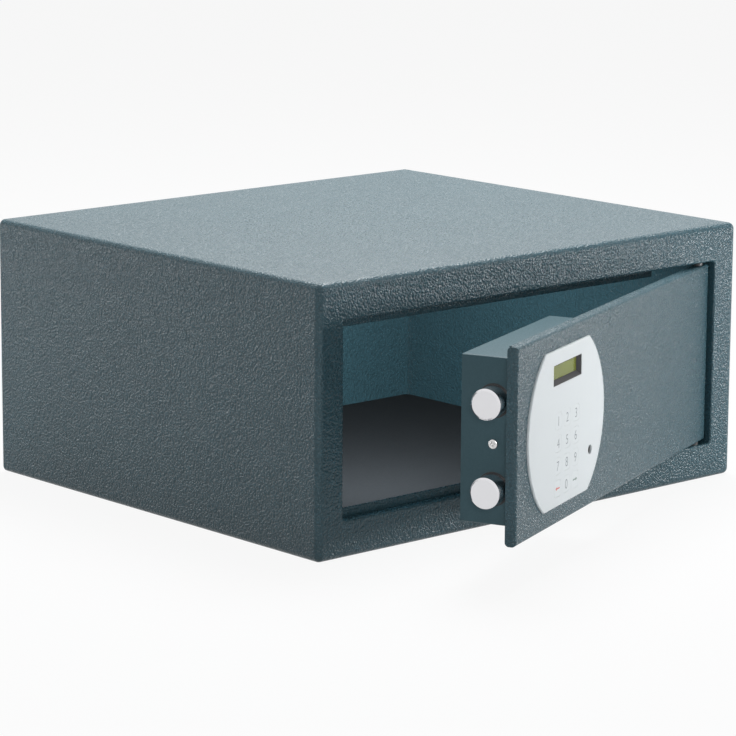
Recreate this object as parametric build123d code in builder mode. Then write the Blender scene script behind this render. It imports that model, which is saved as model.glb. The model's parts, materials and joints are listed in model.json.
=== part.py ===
from build123d import *
from math import atan, ceil, cos, pi, radians, sin, sqrt, tan
import os

os.makedirs("parts", exist_ok=True)

# Furniture safe for a laptop, in millimetres: +Z up, front towards -Y, hinge at +X.
# The origin is the middle of the floor anchors, on the underside.

# Casing
case_w = 430.0
case_d = 375.0
case_h = 200.0
sheet = 2.0
edge_r = 5.0
stile_w = 23.5
rail_h = 28.0
lip_r = 1.6
mouth_r = 2.5
back_inset = 1.0
stop_h = 6.2
stop_end = 62.0
stop_sheet = 2.0
weld_gap = 0.3
anchor_d = 10.0
anchor_pitch = 300.0
wall_anchor_pitch = 300.0
mat_t = 3.0
mat_gap = 3.0

# Door pan and hinge
ajar = 22.6
door_gap = 2.5
door_gap_z = 2.2
door_sheet = 2.5
door_d = 8.0
door_bend_r = 2.8
door_slit = 1.0
flange_end_r = 3.0
stop_gap = 0.4
hinge_inset = 11.5
hinge_depth = 6.0
pin_d = 5.0
pin_fit = 0.05
pin_grip = 16.0
block_w = 18.0
block_h = 18.0
block_wall = 2.0
bracket_w = 18.0
bracket_h = 12.0
washer_d = 9.0
washer_play = 0.1

# Lock box on the back of the door
box_inset = 6.5
box_w = 158.0
box_margin = 2.8
box_rise = 1.8
box_depth = 44.4
box_sheet = 1.5
box_r = 1.5
box_foot = 5.5
tab_w = 10.0
cover_screw_d = 3.0

# Bolts and their carrier
bolt_d = 22.0
bolt_pitch = 62.0
bolt_drop = 2.6
bolt_len = 50.0
bolt_out = 16.0
bolt_throw = 15.5
bolt_chamfer = 1.3
bolt_fit = 0.08
bolt_clear = 0.5
bush_wall = 1.0
bush_len = 9.0
bush_flange = 1.5
carrier_t = 4.0
carrier_w = 19.0
carrier_end = 12.0
screw_head_t = 2.4
bolt_screw_d = 5.0
bolt_tap = 10.0
rod_d = 8.0
rod_drop = 1.8
rod_past = 5.0
rod_screw_d = 4.0
thread_fit = 0.05

# Drive
gear_module = 1.0
pinion_teeth = 18
pressure_angle = 20.0
backlash = 0.12
gear_width = 5.0
gear_depth = 20.0
pinion_gap = 32.5
pinion_drop = 23.8
rack_body = 5.75
rack_run = 14.0
rack_foot_t = 3.0
rack_foot_h = 14.0
shaft_d = 5.0
gearbox_w = 27.0
gearbox_h = 30.0
gearbox_d = 11.0
gearbox_left = 12.0
gearbox_drop = 2.0
gearbox_screw_d = 3.0
gearbox_screw_inset = 4.0
arm_w = 12.0
arm_t = 4.0
arm_inset = 1.5
motor_len = 26.0
motor_d = 20.0
motor_t = 15.0

# Chassis plate inside the lock box
chassis_t = 2.0
chassis_back = 8.4
chassis_gap = 0.5
spacer_d = 7.0
chassis_screw_d = 4.0
chassis_screw_inset = 6.5

# Fascia, keys and display
fascia_inset = 80.5
fascia_drop = 1.4
fascia_w = 140.0
fascia_margin = 2.5
fascia_flat = 80.0
fascia_t = 1.6
fascia_edge = 0.6
fascia_corner_r = 2.5
fascia_peg_x = 44.0
fascia_peg_inset = 15.5
peg_d = 6.0
fascia_screw_d = 2.6
fascia_screw_head = 4.2
keys_high = 7.0
key_space = 4.2
key_r = 3.0
key_gap = 0.1
key_edge = 0.06
key_lip = 0.8
key_lip_t = 0.8
key_play = 0.05
key_travel = 0.4
window_shift = -0.8
window_w = 51.6
window_h = 15.0
bezel_lip = 2.6
bezel_fit = 0.1
bezel_side = 3.3
bezel_top = 0.7
bezel_foot = 3.4
lens_t = 0.6
lcd_t = 1.0
mat_back = 2.9
board_t = 1.6
board_w = 58.0
board_post_inset = 3.0
board_post_d = 5.0
board_gap = 1.0
pocket_margin = 2.0
keyhole_shift = 44.0
keyhole_d = 7.0

# Emergency lock behind the keyhole
lock_d = 16.0
lock_front = 0.3
lock_back = 24.0
lock_shoulder_d = 20.0
lock_shoulder_t = 2.0
lock_nut_af = 20.0
lock_nut_t = 3.0
barrel_d = 10.0
barrel_front = 3.0
barrel_fit = 0.05
keyway_d = 6.4
keyway_w = 1.1
keyway_deep = 6.0
tail_w = 6.0
tail_len = 4.0
cam_len = 14.0
cam_w = 7.0
cam_t = 1.5
lock_fit = 0.15

# Batteries, their holder and lid
cell_d = 14.5
cell_len = 49.3
cell_nub_d = 5.2
cell_nub = 1.2
cell_pitch = 15.0
cell_count = 4
cell_room = 3.5
holder_wall = 1.2
holder_gap = 1.0
holder_depth = 25.4
contact_t = 0.5
plate_gap = 0.05
lid_gap = 0.3
lid_knuckle_d = 2.8
lid_pin_d = 1.6
lid_pin_len = 2.0
lid_ear = 3.4
notch_w = 12.0
notch_d = 3.0

# Places that follow from the sizes above
mid_z = case_h / 2
front_y = -case_d / 2
open_w = case_w - 2 * stile_w
open_h = case_h - 2 * rail_h
return_d = door_d + stop_gap
door_w = open_w - 2 * door_gap
door_h = open_h - 2 * door_gap_z
hinge_x = door_w / 2 - hinge_inset
hinge_y = front_y + hinge_depth
box_left = -door_w / 2 + box_inset
box_right = box_left + box_w
box_x = (box_left + box_right) / 2
box_z = mid_z + box_rise
box_h = door_h - 2 * (door_sheet + box_foot + box_margin)
fascia_x = box_left + fascia_inset
fascia_z = box_z - fascia_drop
fascia_h = box_h - 2 * fascia_margin
key_pitch = fascia_h / keys_high
key_w = key_pitch - key_space
window_x = fascia_x + window_shift
window_z = fascia_z + 2.38 * key_pitch
keyhole_x = fascia_x + keyhole_shift
keyhole_z = fascia_z - 1.7 * key_pitch
fascia_peg_z = fascia_h / 2 - fascia_peg_inset
cover_front = box_depth - box_sheet
bolt_axis = return_d + bolt_clear + bolt_d / 2
bolt_tip = box_left - bolt_out
bolt_end = bolt_tip + bolt_len
carrier_end_x = bolt_end + carrier_t
rod_z = box_z - rod_drop
pinion_x = carrier_end_x + pinion_gap
pinion_z = box_z - pinion_drop
bolts_z = box_z - bolt_drop
bolt_zs = [bolts_z + bolt_pitch / 2, bolts_z - bolt_pitch / 2]
pitch_r = gear_module * pinion_teeth / 2
rack_pitch_z = pinion_z + pitch_r
chassis_front = chassis_back - chassis_t
board_back = mat_back + board_t
key_columns = [fascia_x + step * key_pitch for step in (-1, 0, 1)]
key_rows = [fascia_z + (0.31 - step) * key_pitch for step in (0, 1, 2, 3)]
pocket_top = window_z + window_h / 2 + bezel_lip + pocket_margin
pocket_foot = key_rows[-1] - key_w / 2 - key_lip - pocket_margin
pocket_w = board_w + 2 * pocket_margin
pocket_h = pocket_top - pocket_foot
pocket_z = (pocket_top + pocket_foot) / 2
holder_w = cell_count * cell_pitch
holder_h = cell_len + cell_nub + cell_room
holder_x = box_right - 1.5 * box_sheet - tab_w - holder_gap - holder_wall - holder_w / 2
holder_z = box_z + box_h / 2 - box_sheet - holder_gap - holder_wall - holder_h / 2
lid_w = holder_w - 2 * lid_gap
lid_h = holder_h - 2 * lid_gap
lid_axis_z = holder_z - lid_h / 2 + lid_knuckle_d / 2
lid_axis_depth = box_depth - lid_knuckle_d / 2

# Planes of the casing: its front face, levels above the underside, and cuts across its width.
case_front = Plane(origin=(0, front_y, 0), x_dir=(1, 0, 0), z_dir=(0, -1, 0))


def case_level(z):
    return Plane(origin=(0, front_y, z), x_dir=(1, 0, 0), z_dir=(0, 0, 1))


def case_across(x):
    return Plane(origin=(x, front_y, 0), x_dir=(0, 1, 0), z_dir=(1, 0, 0))


# Planes of the door. The door stands ajar, turned about the hinge pins, so its planes turn too.
# On them a piece keeps the place it has with the door shut: x along the door, depth behind its
# face, z above the underside.
swing = Axis.Z
along_door = Vector(1, 0, 0).rotate(swing, ajar)
into_door = Vector(0, 1, 0).rotate(swing, ajar)
hinge_point = Vector(hinge_x, hinge_y, 0)
door_origin = hinge_point + Vector(-hinge_x, -hinge_depth, 0).rotate(swing, ajar)


def door_point(x, depth, z):
    return door_origin + along_door * x + into_door * depth + Vector(0, 0, z)


def door_face(depth):
    return Plane(origin=door_point(0, depth, 0), x_dir=along_door, z_dir=-into_door)


def door_across(x):
    return Plane(origin=door_point(x, 0, 0), x_dir=into_door, z_dir=along_door)


def door_level(z):
    return Plane(origin=door_point(0, 0, z), x_dir=along_door, z_dir=(0, 0, 1))


def keep(builder, name):
    builder.part.label = name
    export_step(builder.part, f"parts/{name}.step")


def front_edges(builder, plane, reach=0.01):
    """Edges of the builder's part that lie in the given plane."""
    found = []
    for edge in builder.edges():
        if all(abs(plane.to_local_coords(edge @ t).Z) < reach for t in (0, 0.5, 1)):
            found.append(edge)
    return ShapeList(found)


# Body shell: a wrap with rounded edges and a wide front frame, open behind for the back panel.
with BuildPart() as body_shell:
    with BuildSketch():
        Rectangle(case_w, case_d)
    extrude(amount=case_h)
    bends = body_shell.edges().filter_by(Axis.Y)
    bends += front_edges(body_shell, case_front)
    fillet(bends, edge_r)
    with BuildSketch(case_front.offset(-sheet)):
        with Locations((0, mid_z)):
            RectangleRounded(case_w - 2 * sheet, case_h - 2 * sheet, edge_r - sheet)
    extrude(amount=-(case_d - sheet), mode=Mode.SUBTRACT)
    fillet(front_edges(body_shell, case_front.offset(-sheet)), edge_r - sheet - 0.1)
    with BuildSketch(case_front):
        with Locations((0, mid_z)):
            RectangleRounded(open_w + 2 * sheet, open_h + 2 * sheet, mouth_r + sheet)
    extrude(amount=-return_d)
    with BuildSketch(case_front):
        with Locations((0, mid_z)):
            RectangleRounded(open_w, open_h, mouth_r)
    extrude(amount=-return_d, mode=Mode.SUBTRACT)
    mouth = [
        edge
        for edge in front_edges(body_shell, case_front)
        if abs(edge.center().X) < open_w / 2 + sheet / 2
        and abs(edge.center().Z - mid_z) < open_h / 2 + sheet / 2
    ]
    fillet(mouth, lip_r)
    with BuildSketch(case_level(0)):
        with Locations((0, case_d / 2)):
            with GridLocations(anchor_pitch, 0, 2, 1):
                Circle(anchor_d / 2)
    extrude(amount=sheet, mode=Mode.SUBTRACT)
    for flange_z in (rail_h - sheet, case_h - rail_h):
        with BuildSketch(case_level(flange_z)):
            with Locations((hinge_x, hinge_depth)):
                Circle(pin_d / 2 + 2 * pin_fit)
            with Locations((hinge_x, return_d)):
                Rectangle(pin_d + 4 * pin_fit, 2 * (return_d - hinge_depth))
        extrude(amount=sheet, mode=Mode.SUBTRACT)
keep(body_shell, "body_shell")

# Back panel: a flat plate welded inside the rear end of the wrap.
back_depth = case_d - back_inset - sheet
back_w = case_w - 2 * sheet - 2 * weld_gap
back_h = case_h - 2 * sheet - 2 * weld_gap
with BuildPart() as back_panel:
    with BuildSketch(case_front.offset(-back_depth)):
        with Locations((0, mid_z)):
            RectangleRounded(back_w, back_h, edge_r - sheet)
            with GridLocations(wall_anchor_pitch, 0, 2, 1):
                Circle(anchor_d / 2, mode=Mode.SUBTRACT)
    extrude(amount=-sheet)
keep(back_panel, "back_panel")


# Stop strips: angles on the top and bottom returns. The door comes to rest against their lips.
def stop_strip(seat_z, outward):
    """The strip on the return at seat_z; outward is +1 above the opening and -1 below it."""
    back = return_d + stop_sheet
    with BuildPart() as strip:
        with BuildSketch(case_across(-open_w / 2)):
            with BuildLine():
                Polyline(
                    (sheet, seat_z),
                    (return_d, seat_z),
                    (return_d, seat_z - outward * (sheet + stop_h)),
                    (back, seat_z - outward * (sheet + stop_h)),
                    (back, seat_z + outward * stop_sheet),
                    (sheet, seat_z + outward * stop_sheet),
                    close=True,
                )
            make_face()
        extrude(amount=open_w - stop_end)
        outer_bend = [
            edge
            for edge in strip.edges().filter_by(Axis.X)
            if abs(edge.center().Y - front_y - back) < 0.01
            and abs(edge.center().Z - seat_z - outward * stop_sheet) < 0.01
        ]
        fillet(outer_bend, stop_sheet * 0.9)
    return strip


keep(stop_strip(case_h - rail_h + sheet, 1), "upper_stop_strip")
keep(stop_strip(rail_h - sheet, -1), "lower_stop_strip")


# Hinge brackets: blocks behind the front frame that hold the pins.
def hinge_bracket(seat_z, outward):
    deep = hinge_depth + pin_d / 2 + 2 * block_wall - sheet
    with BuildPart() as bracket:
        with BuildSketch(case_level(seat_z)):
            with Locations((hinge_x, sheet + deep / 2)):
                Rectangle(bracket_w, deep)
            with Locations((hinge_x, hinge_depth)):
                Circle(pin_d / 2 + pin_fit, mode=Mode.SUBTRACT)
        extrude(amount=outward * bracket_h)
        rear = bracket.edges().filter_by(Axis.Z).group_by(Axis.Y)[-1]
        fillet(rear, 3)
    return bracket


keep(hinge_bracket(case_h - rail_h + sheet, 1), "upper_hinge_bracket")
keep(hinge_bracket(rail_h - sheet, -1), "lower_hinge_bracket")


# Hinge pins: held in the brackets, with the door's blocks turning on their inner ends.
def hinge_pin(outer_z, inward):
    with BuildPart() as pin:
        with BuildSketch(case_level(outer_z)):
            with Locations((hinge_x, hinge_depth)):
                Circle(pin_d / 2)
        extrude(amount=inward * (bracket_h + sheet + door_gap_z + pin_grip))
        chamfer(pin.edges().filter_by(GeomType.CIRCLE), 0.5)
    return pin


keep(hinge_pin(case_h - rail_h + sheet + bracket_h, -1), "upper_hinge_pin")
keep(hinge_pin(rail_h - sheet - bracket_h, 1), "lower_hinge_pin")

# Hinge washers: they keep the door's height in the opening.
with BuildPart() as hinge_washers:
    for washer_z, upward in ((rail_h, 1), (case_h - rail_h, -1)):
        with BuildSketch(case_level(washer_z)):
            with Locations((hinge_x, hinge_depth)):
                Circle(washer_d / 2)
                Circle(pin_d / 2 + pin_fit, mode=Mode.SUBTRACT)
        extrude(amount=upward * (door_gap_z - washer_play))
keep(hinge_washers, "hinge_washers")

# Floor mat: felt, cut back from the walls and holed over the anchors.
mat_front = sheet + mat_gap
mat_back_edge = back_depth - mat_gap
with BuildPart() as floor_mat:
    with BuildSketch(case_level(sheet)):
        with Locations((0, (mat_front + mat_back_edge) / 2)):
            RectangleRounded(case_w - 2 * sheet - 2 * mat_gap, mat_back_edge - mat_front, 4)
        with Locations((0, case_d / 2)):
            with GridLocations(anchor_pitch, 0, 2, 1):
                Circle(anchor_d, mode=Mode.SUBTRACT)
    extrude(amount=mat_t)
keep(floor_mat, "floor_mat")


fascia_pegs = [
    (fascia_x + side * fascia_peg_x, fascia_z + rise * fascia_peg_z)
    for side in (-1, 1)
    for rise in (-1, 1)
]

# Door plate: a folded pan. At each corner a slit parts the upright flange from the level one, and
# the upright flange has round ends.
with BuildPart() as door_plate:
    with BuildSketch(door_face(0)):
        with Locations((0, mid_z)):
            Rectangle(door_w, door_h)
    extrude(amount=-door_d)
    fillet(front_edges(door_plate, door_face(0)), door_bend_r)
    with BuildSketch(door_face(door_sheet)):
        with Locations((0, mid_z)):
            Rectangle(door_w - 2 * door_sheet, door_h - 2 * door_sheet)
    extrude(amount=-(door_d - door_sheet), mode=Mode.SUBTRACT)
    slit_x = door_w / 2 - door_sheet - door_slit / 2
    slits = [(end * slit_x, mid_z + rise * door_h / 2) for end in (-1, 1) for rise in (-1, 1)]
    with BuildSketch(door_face(door_bend_r)):
        with Locations(*slits):
            Rectangle(door_slit, 2 * door_sheet + door_slit)
    extrude(amount=-(door_d - door_bend_r), mode=Mode.SUBTRACT)
    flange_ends = [
        edge
        for edge in front_edges(door_plate, door_face(door_d))
        if edge.length < 1.2 * door_sheet
        and abs(abs(edge.center().Z - mid_z) - door_h / 2) < 0.01
    ]
    fillet(flange_ends, flange_end_r)
    with BuildSketch(door_face(0)):
        with Locations((fascia_x, pocket_z)):
            RectangleRounded(pocket_w, pocket_h, 4)
        with Locations((keyhole_x, keyhole_z)):
            Circle(lock_d / 2 + lock_fit)
        with Locations(*fascia_pegs):
            Circle(peg_d / 2 + lock_fit)
    extrude(amount=-door_sheet, mode=Mode.SUBTRACT)
    for flange_z in (mid_z - door_h / 2, mid_z + door_h / 2 - door_sheet):
        with BuildSketch(door_level(flange_z)):
            with Locations((hinge_x, hinge_depth)):
                Circle(pin_d / 2 + pin_fit)
            with Locations((hinge_x, door_d)):
                Rectangle(pin_d + 2 * pin_fit, 2 * (door_d - hinge_depth))
        extrude(amount=door_sheet, mode=Mode.SUBTRACT)
keep(door_plate, "door_plate")


# Hinge blocks: bored blocks inside the pan that turn on the pins.
def hinge_block(outer_z, inward):
    left = hinge_x - block_w / 2
    right = door_w / 2 - door_sheet
    back = hinge_depth + pin_d / 2 + block_wall
    with BuildPart() as block:
        with BuildSketch(door_level(outer_z)):
            with Locations(((left + right) / 2, (door_sheet + back) / 2)):
                Rectangle(right - left, back - door_sheet)
            with Locations((hinge_x, hinge_depth)):
                Circle(pin_d / 2 + pin_fit, mode=Mode.SUBTRACT)
        extrude(amount=inward * block_h)
        rear = block.edges().filter_by(Axis.Z).sort_by(Axis(door_point(0, 0, 0), into_door))
        fillet(rear[-2:], 1.5)
    return block


keep(hinge_block(mid_z + door_h / 2 - door_sheet, -1), "upper_hinge_block")
keep(hinge_block(mid_z - door_h / 2 + door_sheet, 1), "lower_hinge_block")

# Lock box: a frame of four walls with a foot that is welded to the door and tabs for the cover.
tab_places = [
    (box_x + side * (box_w / 2 - box_sheet - tab_w / 2), box_z + rise * (box_h / 2 - box_sheet - tab_w / 2))
    for side in (-1, 1)
    for rise in (-1, 1)
]
with BuildPart() as lock_case:
    with BuildSketch(door_face(door_sheet)):
        with Locations((box_x, box_z)):
            RectangleRounded(box_w, box_h, box_r)
            Rectangle(box_w - 2 * box_sheet, box_h - 2 * box_sheet, mode=Mode.SUBTRACT)
    extrude(amount=-(cover_front - door_sheet))
    with BuildSketch(door_face(door_sheet)):
        with Locations((box_x + box_foot / 2, box_z)):
            Rectangle(box_w + box_foot, box_h + 2 * box_foot)
        with Locations((box_x, box_z)):
            Rectangle(box_w - box_sheet, box_h - box_sheet, mode=Mode.SUBTRACT)
    extrude(amount=-box_sheet)
    with BuildSketch(door_face(cover_front - box_sheet)):
        with Locations(*tab_places):
            Rectangle(tab_w + box_sheet, tab_w + box_sheet)
            Circle(cover_screw_d / 2, mode=Mode.SUBTRACT)
    extrude(amount=-box_sheet)
    with BuildSketch(door_across(box_left)):
        with Locations(*[(bolt_axis, z) for z in bolt_zs]):
            Circle(bolt_d / 2 + bolt_fit + bush_wall + thread_fit)
        with Locations((bolt_axis, rod_z)):
            Circle(rod_screw_d / 2 + thread_fit)
    extrude(amount=box_sheet, mode=Mode.SUBTRACT)
keep(lock_case, "lock_case")


def screw(seat, diameter, length, head_t=screw_head_t, head_r=0.0):
    """A screw whose head sits on the seat plane, pointing out of it."""
    shank_r = diameter / 2 - thread_fit
    head_r = head_r or diameter * 0.85
    with BuildPart() as one:
        with BuildSketch(seat):
            Circle(head_r)
        extrude(amount=head_t)
        with BuildSketch(seat):
            Circle(shank_r)
        extrude(amount=-length)
    return one.part


def moved_seat(plane, x, y):
    return Plane(origin=plane.from_local_coords(Vector(x, y, 0)), x_dir=plane.x_dir, z_dir=plane.z_dir)


def rear_seat(depth, x, z):
    """A seat at a depth behind the door's face, looking to the back."""
    return Plane(origin=door_point(x, depth, z), x_dir=-along_door, z_dir=into_door)


# Lock cover: closes the back of the box, with the battery opening and two ears for the lid.
with BuildPart() as lock_cover:
    with BuildSketch(door_face(cover_front)):
        with Locations((box_x, box_z)):
            RectangleRounded(box_w, box_h, box_r)
        with Locations((holder_x, holder_z)):
            Rectangle(holder_w, holder_h, mode=Mode.SUBTRACT)
        with Locations(*tab_places):
            Circle(cover_screw_d / 2 + thread_fit, mode=Mode.SUBTRACT)
    extrude(amount=-box_sheet)
    with BuildSketch(door_face(box_depth - lid_ear)):
        for side in (-1, 1):
            with Locations((holder_x + side * (holder_w / 2 + lid_ear / 2), lid_axis_z)):
                Rectangle(lid_ear, lid_ear)
    extrude(amount=-(lid_ear - box_sheet))
    with BuildSketch(door_across(holder_x)):
        with Locations((lid_axis_depth, lid_axis_z)):
            Circle(lid_pin_d / 2 + pin_fit)
    extrude(amount=holder_w / 2 + lid_pin_len, both=True, mode=Mode.SUBTRACT)
keep(lock_cover, "lock_cover")

with BuildPart() as cover_screws:
    for x, z in tab_places:
        add(screw(rear_seat(box_depth, x, z), cover_screw_d, 6, 2.0))
keep(cover_screws, "cover_screws")

# Chassis plate: carries the bolt works and shields them behind the electronics.
chassis_left = box_left + box_sheet + bush_len
chassis_right = box_right - box_sheet - chassis_gap
chassis_h = box_h - 2 * box_sheet - 2 * chassis_gap
chassis_x = (chassis_left + chassis_right) / 2
chassis_w = chassis_right - chassis_left
post_x = chassis_w / 2 - chassis_screw_inset
post_z = chassis_h / 2 - chassis_screw_inset
chassis_posts = [(chassis_x + side * post_x, box_z + rise * post_z) for side in (-1, 1) for rise in (-1, 1)]
gearbox_x = pinion_x - gearbox_left + gearbox_w / 2
gearbox_z = pinion_z - gearbox_drop
gearbox_screw_x = gearbox_w / 2 - gearbox_screw_inset
gearbox_screw_z = gearbox_z - gearbox_h / 2 + gearbox_screw_inset
gearbox_screws_at = [(gearbox_x + side * gearbox_screw_x, gearbox_screw_z) for side in (-1, 1)]
with BuildPart() as chassis_plate:
    with BuildSketch(door_face(chassis_front)):
        with Locations((chassis_x, box_z)):
            RectangleRounded(chassis_w, chassis_h, 3)
        with Locations((keyhole_x, keyhole_z)):
            Circle(lock_d / 2 + lock_fit, mode=Mode.SUBTRACT)
        with Locations(*chassis_posts):
            Circle(chassis_screw_d / 2 + thread_fit, mode=Mode.SUBTRACT)
        with Locations((fascia_x, pocket_foot + pocket_margin)):
            SlotOverall(16, 5, mode=Mode.SUBTRACT)
        with Locations(*gearbox_screws_at):
            Circle(gearbox_screw_d / 2, mode=Mode.SUBTRACT)
    extrude(amount=-chassis_t)
keep(chassis_plate, "chassis_plate")

with BuildPart() as chassis_spacers:
    with BuildSketch(door_face(door_sheet)):
        with Locations(*chassis_posts):
            Circle(spacer_d / 2)
            Circle(chassis_screw_d / 2 + thread_fit, mode=Mode.SUBTRACT)
    extrude(amount=-(chassis_front - door_sheet))
keep(chassis_spacers, "chassis_spacers")

with BuildPart() as chassis_screws:
    for x, z in chassis_posts:
        add(screw(rear_seat(chassis_back, x, z), chassis_screw_d, chassis_back - door_sheet - 0.2))
keep(chassis_screws, "chassis_screws")

# Fascia: the pale plate with the key openings, the window and the keyhole.
board_posts = [
    (fascia_x + side * (board_w / 2 - board_post_inset), z)
    for side in (-1, 1)
    for z in (key_rows[-1], (key_rows[0] + window_z) / 2)
]
key_places = [(x, z) for z in key_rows for x in key_columns]
with BuildPart() as fascia:
    with BuildSketch(moved_seat(door_face(0), fascia_x, fascia_z)) as outline:
        with BuildLine():
            for side in (-1, 1):
                ThreePointArc(
                    (side * fascia_flat / 2, fascia_h / 2),
                    (side * fascia_w / 2, 0),
                    (side * fascia_flat / 2, -fascia_h / 2),
                )
                Line((fascia_flat / 2, side * fascia_h / 2), (-fascia_flat / 2, side * fascia_h / 2))
        make_face()
        fillet(outline.vertices(), fascia_corner_r)
    extrude(amount=fascia_t)
    chamfer(front_edges(fascia, door_face(-fascia_t)), fascia_edge)
    with BuildSketch(door_face(0)):
        with Locations(*fascia_pegs):
            Circle(peg_d / 2)
    extrude(amount=-(door_sheet - 0.2))
    with BuildSketch(door_face(0)):
        with Locations(*board_posts):
            Circle(board_post_d / 2)
    extrude(amount=-mat_back)
    with BuildSketch(door_face(0)):
        with Locations(*key_places):
            RectangleRounded(key_w + 2 * key_gap, key_w + 2 * key_gap, key_r + key_gap)
        with Locations((window_x, window_z)):
            Rectangle(window_w, window_h)
        with Locations((keyhole_x, keyhole_z)):
            Circle(keyhole_d / 2)
    extrude(amount=fascia_t, mode=Mode.SUBTRACT)
    with BuildSketch(door_face(mat_back)):
        with Locations(*board_posts):
            Circle(fascia_screw_d / 2)
    extrude(amount=mat_back + fascia_t / 2, mode=Mode.SUBTRACT)
    with BuildSketch(door_face(door_sheet - 0.2)):
        with Locations(*fascia_pegs):
            Circle(fascia_screw_d / 2)
    extrude(amount=door_sheet - 0.2 + fascia_t / 2, mode=Mode.SUBTRACT)
keep(fascia, "fascia")

with BuildPart() as fascia_screws:
    for x, z in fascia_pegs:
        add(screw(rear_seat(door_sheet, x, z), fascia_screw_d, door_sheet, 1.8, fascia_screw_head))
keep(fascia_screws, "fascia_screws")

# Keys: flush with the fascia, each kept in by a lip behind it.
key_names = ["1", "2", "3", "4", "5", "6", "7", "8", "9", "cancel", "0", "confirm"]
for key_name, (x, z) in zip(key_names, key_places):
    with BuildPart() as key:
        with BuildSketch(door_face(-fascia_t)):
            with Locations((x, z)):
                RectangleRounded(key_w, key_w, key_r)
        extrude(amount=-(fascia_t + key_play + key_lip_t))
        with BuildSketch(door_face(key_play)):
            with Locations((x, z)):
                RectangleRounded(key_w + 2 * key_lip, key_w + 2 * key_lip, key_r + key_lip)
        extrude(amount=-key_lip_t)
        chamfer(front_edges(key, door_face(-fascia_t)), key_edge)
    keep(key, f"key_{key_name}")

# Keypad mat and circuit board behind the keys.
mat_front_depth = 2 * key_play + key_lip_t + key_travel
mat_top = key_rows[0] + key_w / 2 + key_lip + key_lip
mat_foot = key_rows[-1] - key_w / 2 - key_lip
with BuildPart() as keypad_mat:
    with BuildSketch(door_face(mat_front_depth)):
        with Locations((fascia_x, (mat_top + mat_foot) / 2)):
            RectangleRounded(2 * key_pitch + key_w + 2 * key_lip, mat_top - mat_foot, 2)
    extrude(amount=-(mat_back - mat_front_depth))
    with BuildSketch(door_face(mat_back)):
        with Locations(*key_places):
            Rectangle(key_w / 2, key_w / 2)
    extrude(amount=(mat_back - mat_front_depth) / 2, mode=Mode.SUBTRACT)
keep(keypad_mat, "keypad_mat")

with BuildPart() as circuit_board:
    with BuildSketch(door_face(mat_back)):
        with Locations((fascia_x, pocket_z)):
            RectangleRounded(board_w, pocket_h - 2 * board_gap, 1.5)
        with Locations(*board_posts):
            Circle(fascia_screw_d / 2, mode=Mode.SUBTRACT)
    extrude(amount=-board_t)
    with BuildSketch(door_face(board_back)):
        with Locations((fascia_x, key_rows[1])):
            Rectangle(14, 14)
        with Locations((fascia_x - 14, window_z), (fascia_x + 14, window_z)):
            Rectangle(9, 6)
        with Locations((fascia_x, key_rows[3])):
            Rectangle(12, 5)
    extrude(amount=-board_t)
keep(circuit_board, "circuit_board")

with BuildPart() as board_screws:
    for x, z in board_posts:
        add(screw(rear_seat(board_back, x, z), fascia_screw_d, board_t + 2, 1.5))
keep(board_screws, "board_screws")

# Display: a bezel with sloped sides round a clear window, and the display cell behind it.
lens_front = mat_back - lcd_t - lens_t
bezel_front = fascia_t - 2 * bezel_fit
with BuildPart() as display_bezel:
    with BuildSketch(door_face(-bezel_front)):
        with Locations((window_x, window_z)):
            Rectangle(window_w - 2 * bezel_fit, window_h - 2 * bezel_fit)
    extrude(amount=-(bezel_front + lens_front))
    with BuildSketch(door_face(0)):
        with Locations((window_x, window_z)):
            Rectangle(window_w + 2 * bezel_lip, window_h + 2 * bezel_lip)
    extrude(amount=-lens_front)
    with BuildSketch(door_face(-bezel_front)):
        with Locations((window_x, window_z)):
            Rectangle(window_w - 8 * bezel_fit, window_h - 8 * bezel_fit)
    with BuildSketch(door_face(lens_front)):
        with Locations((window_x, window_z + (bezel_foot - bezel_top) / 2)):
            Rectangle(window_w - 2 * bezel_side, window_h - bezel_foot - bezel_top)
    loft(mode=Mode.SUBTRACT)
keep(display_bezel, "display_bezel")

with BuildPart() as display_window:
    with BuildSketch(door_face(lens_front)):
        with Locations((window_x, window_z)):
            Rectangle(window_w + bezel_lip, window_h + bezel_lip)
    extrude(amount=-lens_t)
keep(display_window, "display_window")

with BuildPart() as display_module:
    with BuildSketch(door_face(lens_front + lens_t)):
        with Locations((window_x, window_z)):
            Rectangle(window_w + bezel_lip, window_h + bezel_lip)
    extrude(amount=-lcd_t)
keep(display_module, "display_module")

# Bolt bushes: flanged rings in the side of the lock box.
bush_r = bolt_d / 2 + bolt_fit
with BuildPart() as bolt_bushes:
    with BuildSketch(door_across(box_left - 0.2)):
        with Locations(*[(bolt_axis, z) for z in bolt_zs]):
            Circle(bush_r + bush_wall)
    extrude(amount=bush_len)
    with BuildSketch(door_across(box_left + box_sheet)):
        with Locations(*[(bolt_axis, z) for z in bolt_zs]):
            Circle(bush_r + bush_wall + bush_flange)
    extrude(amount=bush_flange)
    with BuildSketch(door_across(box_left - 0.2)):
        with Locations(*[(bolt_axis, z) for z in bolt_zs]):
            Circle(bush_r)
    extrude(amount=bush_len, mode=Mode.SUBTRACT)
keep(bolt_bushes, "bolt_bushes")

# Bolts: round bars with a chamfered end, tapped behind for the carrier's screws.
for bolt_name, z in zip(("upper_bolt", "lower_bolt"), bolt_zs):
    with BuildPart() as bolt:
        with BuildSketch(door_across(bolt_tip)):
            with Locations((bolt_axis, z)):
                Circle(bolt_d / 2)
        extrude(amount=bolt_len)
        chamfer(front_edges(bolt, door_across(bolt_tip)), bolt_chamfer)
        with BuildSketch(door_across(bolt_end)):
            with Locations((bolt_axis, z)):
                Circle(bolt_screw_d / 2)
        extrude(amount=-bolt_tap, mode=Mode.SUBTRACT)
    keep(bolt, bolt_name)

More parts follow.
